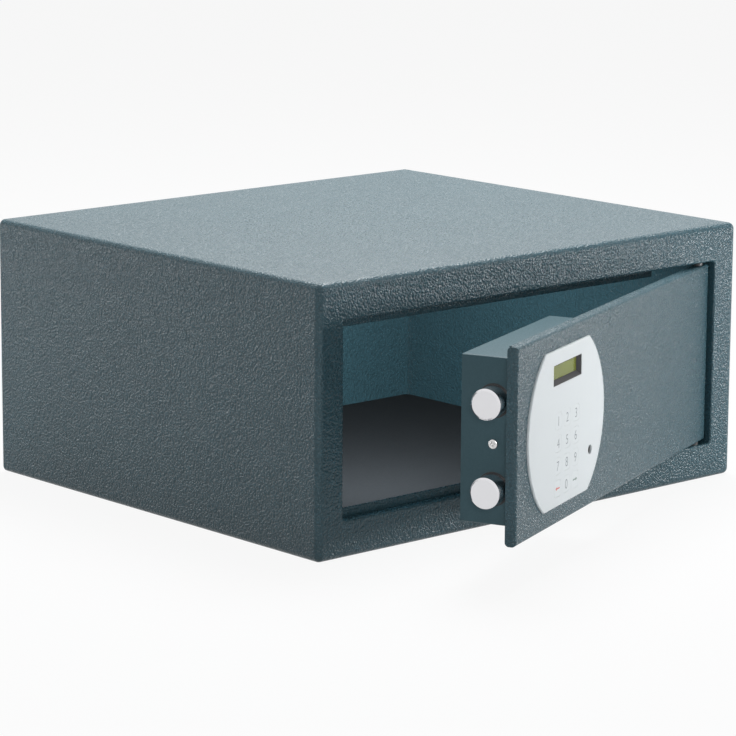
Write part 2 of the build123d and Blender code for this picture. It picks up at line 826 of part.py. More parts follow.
# Bolt carrier: the bar that joins the two bolts and slides on the guide rod.
with BuildPart() as bolt_carrier:
    with BuildSketch(door_across(bolt_end)):
        with Locations((bolt_axis, bolts_z)):
            RectangleRounded(carrier_w, bolt_pitch + 2 * carrier_end, carrier_w / 3)
        with Locations((bolt_axis, rod_z)):
            Circle(rod_d / 2 + bolt_fit, mode=Mode.SUBTRACT)
        with Locations(*[(bolt_axis, z) for z in bolt_zs]):
            Circle(bolt_screw_d / 2, mode=Mode.SUBTRACT)
        with Locations((bolt_axis, rod_z + bolt_pitch / 4)):
            SlotOverall(carrier_w / 2, 5, mode=Mode.SUBTRACT)
    extrude(amount=carrier_t)
keep(bolt_carrier, "bolt_carrier")

with BuildPart() as bolt_screws:
    for z in bolt_zs:
        seat = Plane(origin=door_point(carrier_end_x, bolt_axis, z), x_dir=into_door, z_dir=along_door)
        add(screw(seat, bolt_screw_d, carrier_t + bolt_tap - 1))
keep(bolt_screws, "bolt_screws")

# Guide rod, held by the screw that shows between the bolts.
rod_left = box_left + box_sheet
rod_right = carrier_end_x + bolt_throw + rod_past
with BuildPart() as guide_rod:
    with BuildSketch(door_across(rod_left)):
        with Locations((bolt_axis, rod_z)):
            Circle(rod_d / 2)
    extrude(amount=rod_right - rod_left)
    chamfer(front_edges(guide_rod, door_across(rod_right)), 0.8)
    with BuildSketch(door_across(rod_left)):
        with Locations((bolt_axis, rod_z)):
            Circle(rod_screw_d / 2)
    extrude(amount=bolt_tap, mode=Mode.SUBTRACT)
keep(guide_rod, "guide_rod")

with BuildPart() as guide_rod_screw:
    seat = Plane(origin=door_point(box_left, bolt_axis, rod_z), x_dir=-into_door, z_dir=-along_door)
    add(screw(seat, rod_screw_d, box_sheet + bolt_tap - 1))
keep(guide_rod_screw, "guide_rod_screw")

# Drive rack: straight-flanked teeth that point down to the pinion, and a foot on the carrier.
tooth_pitch = pi * gear_module
slope = tan(radians(pressure_angle))
rack_tip_z = rack_pitch_z - gear_module
rack_root_z = rack_pitch_z + 1.25 * gear_module
rack_top_z = rack_root_z + rack_body
rack_start = carrier_end_x + rack_foot_t
rack_end = pinion_x + rack_run
teeth_before = ceil(bolt_throw / tooth_pitch) + 2
teeth_after = int((rack_run - tooth_pitch / 2) / tooth_pitch)
rack_profile = [(rack_start, rack_top_z), (rack_start, rack_root_z)]
for step in range(-teeth_before, teeth_after + 1):
    middle = pinion_x + step * tooth_pitch
    half_root = tooth_pitch / 4 + 1.25 * gear_module * slope
    half_tip = tooth_pitch / 4 - gear_module * slope
    rack_profile += [
        (middle - half_root, rack_root_z),
        (middle - half_tip, rack_tip_z),
        (middle + half_tip, rack_tip_z),
        (middle + half_root, rack_root_z),
    ]
rack_profile += [(rack_end, rack_root_z), (rack_end, rack_top_z)]
with BuildPart() as drive_rack:
    with BuildSketch(door_face(gear_depth)):
        with BuildLine():
            Polyline(*rack_profile, close=True)
        make_face()
    extrude(amount=-gear_width)
    with BuildSketch(door_across(carrier_end_x)):
        with Locations((gear_depth + gear_width / 2, rack_top_z - rack_foot_h / 2)):
            RectangleRounded(gear_width + 4, rack_foot_h, 1.5)
    extrude(amount=rack_foot_t)
keep(drive_rack, "drive_rack")

# Drive pinion: teeth on a shaft, each flank an arc through three points of its involute, and a
# gap over the middle for a tooth of the rack.
base_r = pitch_r * cos(radians(pressure_angle))
tip_r = pitch_r + gear_module
root_r = pitch_r - 1.25 * gear_module
half_tooth = (tooth_pitch / 2 - backlash) / (2 * pitch_r)


def involute_angle(r):
    roll = sqrt((r / base_r) ** 2 - 1)
    return roll - atan(roll)


def flank_point(r, tooth_middle, side):
    """A point on one flank of a tooth at radius r; side is +1 or -1."""
    offset = half_tooth + involute_angle(pitch_r) - involute_angle(max(r, base_r))
    turn = tooth_middle + side * offset
    return (pinion_x + r * cos(turn), pinion_z + r * sin(turn))


flank_radii = [base_r, (base_r + tip_r) / 2, tip_r]
with BuildPart() as drive_pinion:
    with BuildSketch(door_face(gear_depth)):
        with BuildLine():
            for step in range(pinion_teeth):
                middle = pi / 2 + (step + 0.5) * 2 * pi / pinion_teeth
                next_middle = middle + 2 * pi / pinion_teeth
                Line(flank_point(root_r, middle, -1), flank_point(base_r, middle, -1))
                ThreePointArc(*[flank_point(r, middle, -1) for r in flank_radii])
                Line(flank_point(tip_r, middle, -1), flank_point(tip_r, middle, 1))
                ThreePointArc(*[flank_point(r, middle, 1) for r in reversed(flank_radii)])
                Line(flank_point(base_r, middle, 1), flank_point(root_r, middle, 1))
                Line(flank_point(root_r, middle, 1), flank_point(root_r, next_middle, -1))
        make_face()
    extrude(amount=-gear_width)
    with BuildSketch(door_face(chassis_back + shaft_d)):
        with Locations((pinion_x, pinion_z)):
            Circle(shaft_d / 2)
    extrude(amount=-(gear_depth + gear_width - chassis_back - shaft_d + 1.5))
    with BuildSketch(door_face(gear_depth + gear_width)):
        with Locations((pinion_x, pinion_z)):
            Circle(shaft_d * 0.9)
    extrude(amount=-1)
keep(drive_pinion, "drive_pinion")

# Gearbox, with an arm that holds the rack down on the pinion, and its screws.
gearbox_back = chassis_back + gearbox_d
arm_front = gearbox_back - arm_t - arm_inset
arm_step = gearbox_back - arm_inset
arm_root_z = gearbox_z + gearbox_h / 2 - arm_inset
with BuildPart() as gearbox:
    with BuildSketch(door_face(chassis_back)):
        with Locations((gearbox_x, gearbox_z)):
            RectangleRounded(gearbox_w, gearbox_h, 3)
    extrude(amount=-gearbox_d)
    chamfer(front_edges(gearbox, door_face(gearbox_back)), 0.8)
    with BuildSketch(door_across(pinion_x - arm_w / 2)):
        with BuildLine():
            Polyline(
                (arm_front, arm_root_z),
                (arm_step, arm_root_z),
                (arm_step, rack_top_z + lock_fit),
                (gear_depth + gear_width, rack_top_z + lock_fit),
                (gear_depth + gear_width, rack_top_z + lock_fit + arm_t),
                (arm_front, rack_top_z + lock_fit + arm_t),
                close=True,
            )
        make_face()
    extrude(amount=arm_w)
    with BuildSketch(door_face(gearbox_back)):
        with Locations((pinion_x, pinion_z)):
            Circle(shaft_d / 2 + pin_fit)
    extrude(amount=gearbox_back - chassis_back - shaft_d + 0.2, mode=Mode.SUBTRACT)
    with BuildSketch(door_face(chassis_back)):
        with Locations(*gearbox_screws_at):
            Circle(gearbox_screw_d / 2)
    extrude(amount=-gearbox_d, mode=Mode.SUBTRACT)
keep(gearbox, "gearbox")

with BuildPart() as gearbox_screws:
    for x, z in gearbox_screws_at:
        add(screw(rear_seat(gearbox_back, x, z), gearbox_screw_d, gearbox_d + chassis_t))
keep(gearbox_screws, "gearbox_screws")

# Motor: a can with two flat sides, its rear bearing and two terminals.
motor_left = gearbox_x + gearbox_w / 2
motor_depth = chassis_back + motor_t / 2 + 0.1
motor_z = gearbox_z - 2
with BuildPart() as drive_motor:
    with BuildSketch(door_across(motor_left)):
        with Locations((motor_depth, motor_z)):
            Circle(motor_d / 2)
            Rectangle(motor_t, 2 * motor_d, mode=Mode.INTERSECT)
    extrude(amount=motor_len)
    chamfer(front_edges(drive_motor, door_across(motor_left + motor_len)), 0.8)
    with BuildSketch(door_across(motor_left + motor_len)):
        with Locations((motor_depth, motor_z)):
            Circle(motor_d / 7)
        with Locations(*[(motor_depth, motor_z + rise * motor_d / 3) for rise in (-1, 1)]):
            Rectangle(2, 0.6)
    extrude(amount=1.5)
keep(drive_motor, "drive_motor")

# Emergency lock: a body through door and chassis, its nut, and the barrel with the cam.
with BuildPart() as emergency_lock_body:
    with BuildSketch(door_face(lock_front)):
        with Locations((keyhole_x, keyhole_z)):
            Circle(lock_d / 2)
    extrude(amount=-(lock_back - lock_front))
    with BuildSketch(door_face(chassis_front)):
        with Locations((keyhole_x, keyhole_z)):
            Circle(lock_shoulder_d / 2)
    extrude(amount=lock_shoulder_t)
    with BuildSketch(door_face(lock_front)):
        with Locations((keyhole_x, keyhole_z)):
            Circle(barrel_d / 2 + barrel_fit)
    extrude(amount=-(lock_back - lock_front), mode=Mode.SUBTRACT)
keep(emergency_lock_body, "emergency_lock_body")

with BuildPart() as emergency_lock_nut:
    with BuildSketch(door_face(chassis_back)):
        with Locations((keyhole_x, keyhole_z)):
            RegularPolygon(lock_nut_af / 2, 6, major_radius=False)
            Circle(lock_d / 2 + thread_fit, mode=Mode.SUBTRACT)
    extrude(amount=-lock_nut_t)
keep(emergency_lock_nut, "emergency_lock_nut")

with BuildPart() as emergency_barrel:
    with BuildSketch(door_face(barrel_front)):
        with Locations((keyhole_x, keyhole_z)):
            Circle(barrel_d / 2)
    extrude(amount=-(lock_back - barrel_front))
    with BuildSketch(door_face(lock_back)):
        with Locations((keyhole_x, keyhole_z)):
            Rectangle(tail_w, tail_w)
    extrude(amount=-tail_len)
    with BuildSketch(door_face(barrel_front)):
        with Locations((keyhole_x, keyhole_z)):
            Circle(keyway_d / 2)
            Circle(keyway_d / 2 - keyway_w, mode=Mode.SUBTRACT)
        with Locations((keyhole_x, keyhole_z + keyway_d / 2)):
            Rectangle(keyway_w, keyway_w)
    extrude(amount=-keyway_deep, mode=Mode.SUBTRACT)
keep(emergency_barrel, "emergency_barrel")

with BuildPart() as emergency_cam:
    with BuildSketch(door_face(lock_back + thread_fit)):
        with Locations((keyhole_x, keyhole_z - cam_len / 2)):
            SlotCenterToCenter(cam_len, cam_w, rotation=90)
        with Locations((keyhole_x, keyhole_z)):
            Circle(tail_w * 0.95)
            Rectangle(tail_w + 2 * thread_fit, tail_w + 2 * thread_fit, mode=Mode.SUBTRACT)
    extrude(amount=-cam_t)
keep(emergency_cam, "emergency_cam")

# Battery holder: an open tray against the cover, notched for the lid's ears.
with BuildPart() as battery_holder:
    with BuildSketch(door_face(holder_depth)):
        with Locations((holder_x, holder_z)):
            RectangleRounded(holder_w + 2 * holder_wall, holder_h + 2 * holder_wall, holder_wall)
    extrude(amount=-(cover_front - holder_depth))
    with BuildSketch(door_face(holder_depth + holder_wall)):
        with Locations((holder_x, holder_z)):
            Rectangle(holder_w, holder_h)
    extrude(amount=-(cover_front - holder_depth - holder_wall), mode=Mode.SUBTRACT)
    with BuildSketch(door_face(box_depth - lid_ear - lid_gap)):
        with Locations((holder_x, lid_axis_z)):
            Rectangle(holder_w + 4 * holder_wall, lid_ear + 2 * lid_gap)
    extrude(amount=-lid_ear, mode=Mode.SUBTRACT)
keep(battery_holder, "battery_holder")

# Batteries lie side by side, turned end for end in turn, with a plate at the nub of each and a
# bowed leaf at its flat end.
cell_depth = holder_depth + holder_wall + lid_gap / 3 + cell_d / 2
cell_xs = [holder_x + (step - (cell_count - 1) / 2) * cell_pitch for step in range(cell_count)]
holder_top = holder_z + holder_h / 2
holder_foot = holder_z - holder_h / 2
leaf_h = holder_h - cell_len - cell_nub - contact_t - 2 * plate_gap
with BuildPart() as batteries:
    for step, x in enumerate(cell_xs):
        upward = 1 if step % 2 == 0 else -1
        nub_end = (holder_top if upward == 1 else holder_foot) - upward * (contact_t + plate_gap)
        with BuildSketch(door_level(nub_end)):
            with Locations((x, cell_depth)):
                Circle(cell_nub_d / 2)
        extrude(amount=-upward * cell_nub)
        with BuildSketch(door_level(nub_end - upward * cell_nub)):
            with Locations((x, cell_depth)):
                Circle(cell_d / 2)
        extrude(amount=-upward * cell_len)
keep(batteries, "batteries")

with BuildPart() as battery_contacts:
    for step, x in enumerate(cell_xs):
        upward = 1 if step % 2 == 0 else -1
        plate_end = holder_top if upward == 1 else holder_foot
        leaf_end = holder_foot if upward == 1 else holder_top
        with BuildSketch(door_level(plate_end)):
            with Locations((x, cell_depth)):
                Rectangle(cell_d * 0.7, cell_d * 0.7)
        extrude(amount=-upward * contact_t)
        reach = cell_d * 0.35
        with BuildSketch(door_across(x - cell_d / 5)):
            with BuildLine():
                outer = ThreePointArc(
                    (cell_depth - reach, leaf_end),
                    (cell_depth, leaf_end + upward * leaf_h),
                    (cell_depth + reach, leaf_end),
                )
                inner = ThreePointArc(
                    (cell_depth - reach + contact_t, leaf_end),
                    (cell_depth, leaf_end + upward * (leaf_h - contact_t)),
                    (cell_depth + reach - contact_t, leaf_end),
                )
                Line(outer @ 0, inner @ 0)
                Line(outer @ 1, inner @ 1)
            make_face()
        extrude(amount=cell_d * 0.4)
keep(battery_contacts, "battery_contacts")

# Battery lid: turns on stub pins at its lower edge, with a finger notch at the top.
with BuildPart() as battery_lid:
    with BuildSketch(door_across(holder_x - lid_w / 2)):
        with Locations((lid_axis_depth, lid_axis_z)):
            Circle(lid_knuckle_d / 2)
        with Locations(((cover_front + box_depth) / 2, (lid_axis_z + holder_z + lid_h / 2) / 2)):
            Rectangle(box_sheet, holder_z + lid_h / 2 - lid_axis_z)
    extrude(amount=lid_w)
    with BuildSketch(door_across(holder_x)):
        with Locations((lid_axis_depth, lid_axis_z)):
            Circle(lid_pin_d / 2)
    extrude(amount=holder_w / 2 + lid_pin_len - lid_gap, both=True)
    with BuildSketch(door_face(cover_front)):
        with Locations((holder_x, holder_z + lid_h / 2)):
            RectangleRounded(notch_w, 2 * notch_d, notch_d * 0.9)
    extrude(amount=-box_sheet, mode=Mode.SUBTRACT)
keep(battery_lid, "battery_lid")
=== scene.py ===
import bpy
import json
import math
import numpy as np
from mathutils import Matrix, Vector


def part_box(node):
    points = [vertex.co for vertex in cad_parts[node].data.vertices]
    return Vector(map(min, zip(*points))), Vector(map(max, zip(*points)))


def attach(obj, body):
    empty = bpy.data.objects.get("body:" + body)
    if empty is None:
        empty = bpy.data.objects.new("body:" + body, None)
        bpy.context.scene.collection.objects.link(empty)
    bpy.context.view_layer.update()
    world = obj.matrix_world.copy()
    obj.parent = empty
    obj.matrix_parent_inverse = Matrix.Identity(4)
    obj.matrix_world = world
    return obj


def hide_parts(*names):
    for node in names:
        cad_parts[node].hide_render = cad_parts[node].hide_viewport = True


# Furniture safe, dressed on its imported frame. Metres; +Z up, front towards -Y, hinge at +X.

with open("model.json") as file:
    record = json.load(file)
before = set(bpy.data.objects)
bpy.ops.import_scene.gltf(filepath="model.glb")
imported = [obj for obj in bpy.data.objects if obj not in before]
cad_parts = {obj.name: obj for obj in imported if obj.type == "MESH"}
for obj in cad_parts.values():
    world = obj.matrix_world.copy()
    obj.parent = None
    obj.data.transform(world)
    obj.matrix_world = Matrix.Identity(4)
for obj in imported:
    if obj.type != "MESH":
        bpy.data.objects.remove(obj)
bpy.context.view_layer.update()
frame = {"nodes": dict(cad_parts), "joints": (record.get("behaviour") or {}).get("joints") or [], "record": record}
print("frame loaded", len(frame["nodes"]), "nodes")

# The door stands ajar, so what sits on it is worked out as if it were shut and then swung with it.
joints = {joint["name"]: joint for joint in frame["joints"]}
hingePoint = np.array(joints["door_hinge"]["pos_m"])
alongDoor = np.array(joints["bolt_throw"]["axis"])
intoDoor = np.array([-alongDoor[1], alongDoor[0], 0.0])
upward = np.array([0.0, 0.0, 1.0])
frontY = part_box("body_shell")[0].y


def doorPlace(points):  # shut-door x, depth behind the face and z, swung about the hinge
    points = np.asarray(points, float).reshape(-1, 3)
    along = (points[:, :1] - hingePoint[0]) * alongDoor
    inward = (points[:, 1:2] - (hingePoint[1] - frontY)) * intoDoor
    flat = np.array([hingePoint[0], hingePoint[1], 0.0])
    return flat + along + inward + points[:, 2:] * upward


def meshPoints(mesh):  # a mesh's vertices, as rows
    flat = np.zeros(len(mesh.vertices) * 3)
    mesh.vertices.foreach_get("co", flat)
    return flat.reshape(-1, 3)


# Meshes from grids of points

def gridFaces(rows, columns):  # quads between neighbouring rows of closed rings
    row, column = np.meshgrid(np.arange(rows - 1), np.arange(columns), indexing="ij")
    nextColumn = (column + 1) % columns
    corners = [row * columns + column, row * columns + nextColumn]
    corners += [(row + 1) * columns + nextColumn, (row + 1) * columns + column]
    return np.stack(corners, -1).reshape(-1, 4)


def addPiece(name, points, faces, material, body, smooth=True):
    mesh = bpy.data.meshes.new(name)
    rows = [list(map(int, face)) for face in faces]
    mesh.from_pydata(np.asarray(points, float).tolist(), [], rows)
    mesh.polygons.foreach_set("use_smooth", np.full(len(mesh.polygons), smooth))
    mesh.materials.append(material)
    mesh.update()
    piece = bpy.data.objects.new(name, mesh)
    bpy.context.scene.collection.objects.link(piece)
    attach(piece, body)
    return piece


# Shader groups shared by the finishes

def startGroup(name, inputs, outputs):
    group = bpy.data.node_groups.new(name, "ShaderNodeTree")
    for socketName, socketType, value in inputs:
        socket = group.interface.new_socket(socketName, in_out="INPUT", socket_type=socketType)
        if value is not None:
            socket.default_value = value
    for socketName, socketType in outputs:
        group.interface.new_socket(socketName, in_out="OUTPUT", socket_type=socketType)
    return group, group.nodes.new("NodeGroupInput"), group.nodes.new("NodeGroupOutput")


def addNode(tree, kind, settings=None, values=None):
    node = tree.nodes.new(kind)
    for key, value in (settings or {}).items():
        setattr(node, key, value)
    for key, value in (values or {}).items():
        node.inputs[key].default_value = value
    return node


def addMath(tree, operation, first, second):
    node = addNode(tree, "ShaderNodeMath", {"operation": operation})
    for index, value in enumerate((first, second)):
        if isinstance(value, bpy.types.NodeSocket):
            tree.links.new(value, node.inputs[index])
        else:
            node.inputs[index].default_value = value
    return node.outputs[0]


def addRange(tree, value, **limits):  # a clamped change of range
    values = {key.replace("_", " "): limit for key, limit in limits.items()}
    node = addNode(tree, "ShaderNodeMapRange", {"clamp": True}, values)
    tree.links.new(value, node.inputs["Value"])
    return node.outputs["Result"]


def addNoise(tree, **values):  # a noise over the object's own coordinates
    place = addNode(tree, "ShaderNodeTexCoord")
    noise = addNode(tree, "ShaderNodeTexNoise", values=values)
    tree.links.new(place.outputs["Object"], noise.inputs["Vector"])
    return noise


def addPulledNoise(tree, stretch, **values):  # a noise scaled by its own amount along each axis
    place = addNode(tree, "ShaderNodeTexCoord")
    pulled = addNode(tree, "ShaderNodeVectorMath", {"operation": "MULTIPLY"})
    tree.links.new(place.outputs["Object"], pulled.inputs[0])
    if isinstance(stretch, bpy.types.NodeSocket):
        tree.links.new(stretch, pulled.inputs[1])
    else:
        pulled.inputs[1].default_value = stretch
    noise = addNode(tree, "ShaderNodeTexNoise", values={"Scale": 1.0, **values})
    tree.links.new(pulled.outputs[0], noise.inputs["Vector"])
    return noise.outputs["Fac"]


# Ratios are shares of the cells' own frequency; push is how far the cells are shifted about.
grainShape = {
    "size": 0.0016,
    "skin": 0.2,
    "push": 0.0016,
    "pushRatio": 0.7,
    "softness": 0.35,
    "domePower": 1.6,
    "skinRatio": 2.6,
    "crestFrom": 0.45,
    "crestTo": 0.95,
}


def makeGrainGroup():
    # Pebbles of a leather-grain coat: rounded cells pushed about by a noise, under a finer skin.
    group, given, result = startGroup(
        "leatherGrain",
        [
            ("Size", "NodeSocketFloat", grainShape["size"]),
            ("Skin", "NodeSocketFloat", grainShape["skin"]),
        ],
        [("Height", "NodeSocketFloat"), ("Crest", "NodeSocketFloat")],
    )
    perMetre = addMath(group, "DIVIDE", 1.0, given.outputs["Size"])
    push = addNoise(group, Detail=2.0, Roughness=0.6)
    pushScale = addMath(group, "MULTIPLY", perMetre, grainShape["pushRatio"])
    group.links.new(pushScale, push.inputs["Scale"])
    place = addNode(group, "ShaderNodeTexCoord")
    bent = addNode(group, "ShaderNodeVectorMath", {"operation": "MULTIPLY_ADD"})
    group.links.new(push.outputs["Color"], bent.inputs[0])
    bent.inputs[1].default_value = [grainShape["push"]] * 3
    group.links.new(place.outputs["Object"], bent.inputs[2])
    cellValues = {"Smoothness": grainShape["softness"], "Randomness": 1.0}
    cells = addNode(group, "ShaderNodeTexVoronoi", {"feature": "SMOOTH_F1"}, cellValues)
    group.links.new(bent.outputs[0], cells.inputs["Vector"])
    group.links.new(perMetre, cells.inputs["Scale"])
    hollow = addMath(group, "POWER", cells.outputs["Distance"], grainShape["domePower"])
    dome = addMath(group, "SUBTRACT", 1.0, hollow)
    skin = addNoise(group, Detail=3.0, Roughness=0.7)
    skinScale = addMath(group, "MULTIPLY", perMetre, grainShape["skinRatio"])
    group.links.new(skinScale, skin.inputs["Scale"])
    fine = addMath(group, "MULTIPLY", skin.outputs["Fac"], given.outputs["Skin"])
    group.links.new(addMath(group, "ADD", dome, fine), result.inputs["Height"])
    limits = {"From_Min": grainShape["crestFrom"], "From_Max": grainShape["crestTo"]}
    group.links.new(addRange(group, dome, **limits), result.inputs["Crest"])
    return group


def makeMottleGroup():
    # Slow, faint change of shade across a surface: a wide noise kept near one.
    group, given, result = startGroup(
        "slowMottle",
        [
            ("Size", "NodeSocketFloat", 0.08),
            ("Amount", "NodeSocketFloat", 0.1),
            ("Color", "NodeSocketColor", None),
        ],
        [("Color", "NodeSocketColor")],
    )
    noise = addNoise(group, Detail=4.0, Roughness=0.55)
    perMetre = addMath(group, "DIVIDE", 1.0, given.outputs["Size"])
    group.links.new(perMetre, noise.inputs["Scale"])
    centred = addMath(group, "SUBTRACT", noise.outputs["Fac"], 0.5)
    change = addMath(group, "MULTIPLY", centred, given.outputs["Amount"])
    scaled = addNode(group, "ShaderNodeVectorMath", {"operation": "SCALE"})
    group.links.new(given.outputs["Color"], scaled.inputs[0])
    group.links.new(addMath(group, "ADD", 1.0, change), scaled.inputs["Scale"])
    group.links.new(scaled.outputs[0], result.inputs["Color"])
    return group


scratchSpread = 0.06


def makeBrushGroup():
    # Fine scratches: a noise stretched along one axis of the object.
    group, given, result = startGroup(
        "fineScratches",
        [("Stretch", "NodeSocketVector", (1500.0, 1500.0, 60.0))],
        [("Height", "NodeSocketFloat"), ("Roughness", "NodeSocketFloat")],
    )
    scratches = addPulledNoise(group, given.outputs["Stretch"], Detail=3.0, Roughness=0.6)
    group.links.new(scratches, result.inputs["Height"])
    rough = addRange(group, scratches, To_Min=-scratchSpread, To_Max=scratchSpread)
    group.links.new(rough, result.inputs["Roughness"])
    return group


grainGroup = makeGrainGroup()
mottleGroup = makeMottleGroup()
brushGroup = makeBrushGroup()


def addGroup(tree, group, values):
    return addNode(tree, "ShaderNodeGroup", {"node_tree": group}, values)


def startMaterial(name, settings):
    material = bpy.data.materials.new(name)
    material.use_nodes = True
    tree = material.node_tree
    shader = tree.nodes["Principled BSDF"]
    shader.inputs["Base Color"].default_value = (*settings["color"], 1.0)
    shader.inputs["Roughness"].default_value = settings["roughness"]
    shader.inputs["Metallic"].default_value = settings.get("metallic", 0.0)
    shader.inputs["Specular IOR Level"].default_value = settings.get("specular", 0.5)
    material.diffuse_color = (*settings["color"], 1.0)
    return material, tree, shader


def linkMottle(tree, shader, settings):
    mottleValues = {"Size": settings["mottleSize"], "Amount": settings["mottle"]}
    mottle = addGroup(tree, mottleGroup, mottleValues)
    mottle.inputs["Color"].default_value = (*settings["color"], 1.0)
    tree.links.new(mottle.outputs["Color"], shader.inputs["Base Color"])
    return mottle.outputs["Color"]


def linkBump(tree, shader, height, depth):
    bump = addNode(tree, "ShaderNodeBump", values={"Strength": 1.0, "Distance": depth})
    tree.links.new(height, bump.inputs["Height"])
    tree.links.new(bump.outputs["Normal"], shader.inputs["Normal"])


def coatMaterial(name, settings):  # powder coat: mottled, pebbled, with shinier crests and painted shade darkening the hollows between pebbles
    material, tree, shader = startMaterial(name, settings)
    mottled = linkMottle(tree, shader, settings)
    grain = addGroup(tree, grainGroup, {"Size": settings["grain"], "Skin": settings["skin"]})
    # Painted shade: the base colour is darkened in the hollows between pebbles by the crease factor, and kept full
    # on the crests.
    dark = addNode(tree, "ShaderNodeVectorMath", {"operation": "SCALE"})
    dark.inputs["Scale"].default_value = settings["creaseShade"]
    tree.links.new(mottled, dark.inputs[0])
    tint = addNode(tree, "ShaderNodeMix", {"data_type": "RGBA"})
    tree.links.new(grain.outputs["Crest"], tint.inputs["Factor"])
    tree.links.new(dark.outputs[0], tint.inputs["A"])
    tree.links.new(mottled, tint.inputs["B"])
    tree.links.new(tint.outputs["Result"], shader.inputs["Base Color"])
    dull = settings["roughness"] + settings["roughSpread"]
    shiny = settings["roughness"] - settings["roughSpread"]
    rough = addRange(tree, grain.outputs["Crest"], To_Min=dull, To_Max=shiny)
    tree.links.new(rough, shader.inputs["Roughness"])
    linkBump(tree, shader, grain.outputs["Height"], settings["relief"])
    return material


def metalMaterial(name, settings):  # plated or turned steel with fine scratches
    material, tree, shader = startMaterial(name, settings)
    linkMottle(tree, shader, settings)
    brush = addGroup(tree, brushGroup, {"Stretch": settings["stretch"]})
    rough = addMath(tree, "ADD", brush.outputs["Roughness"], settings["roughness"])
    tree.links.new(rough, shader.inputs["Roughness"])
    linkBump(tree, shader, brush.outputs["Height"], settings["relief"])
    return material


def plasticMaterial(name, settings):  # moulded plastic: a spark-eroded fine skin
    material, tree, shader = startMaterial(name, settings)
    linkMottle(tree, shader, settings)
    skin = addNoise(tree, Scale=settings["skinScale"], Detail=3.0, Roughness=0.6)
    linkBump(tree, shader, skin.outputs["Fac"], settings["relief"])
    return material
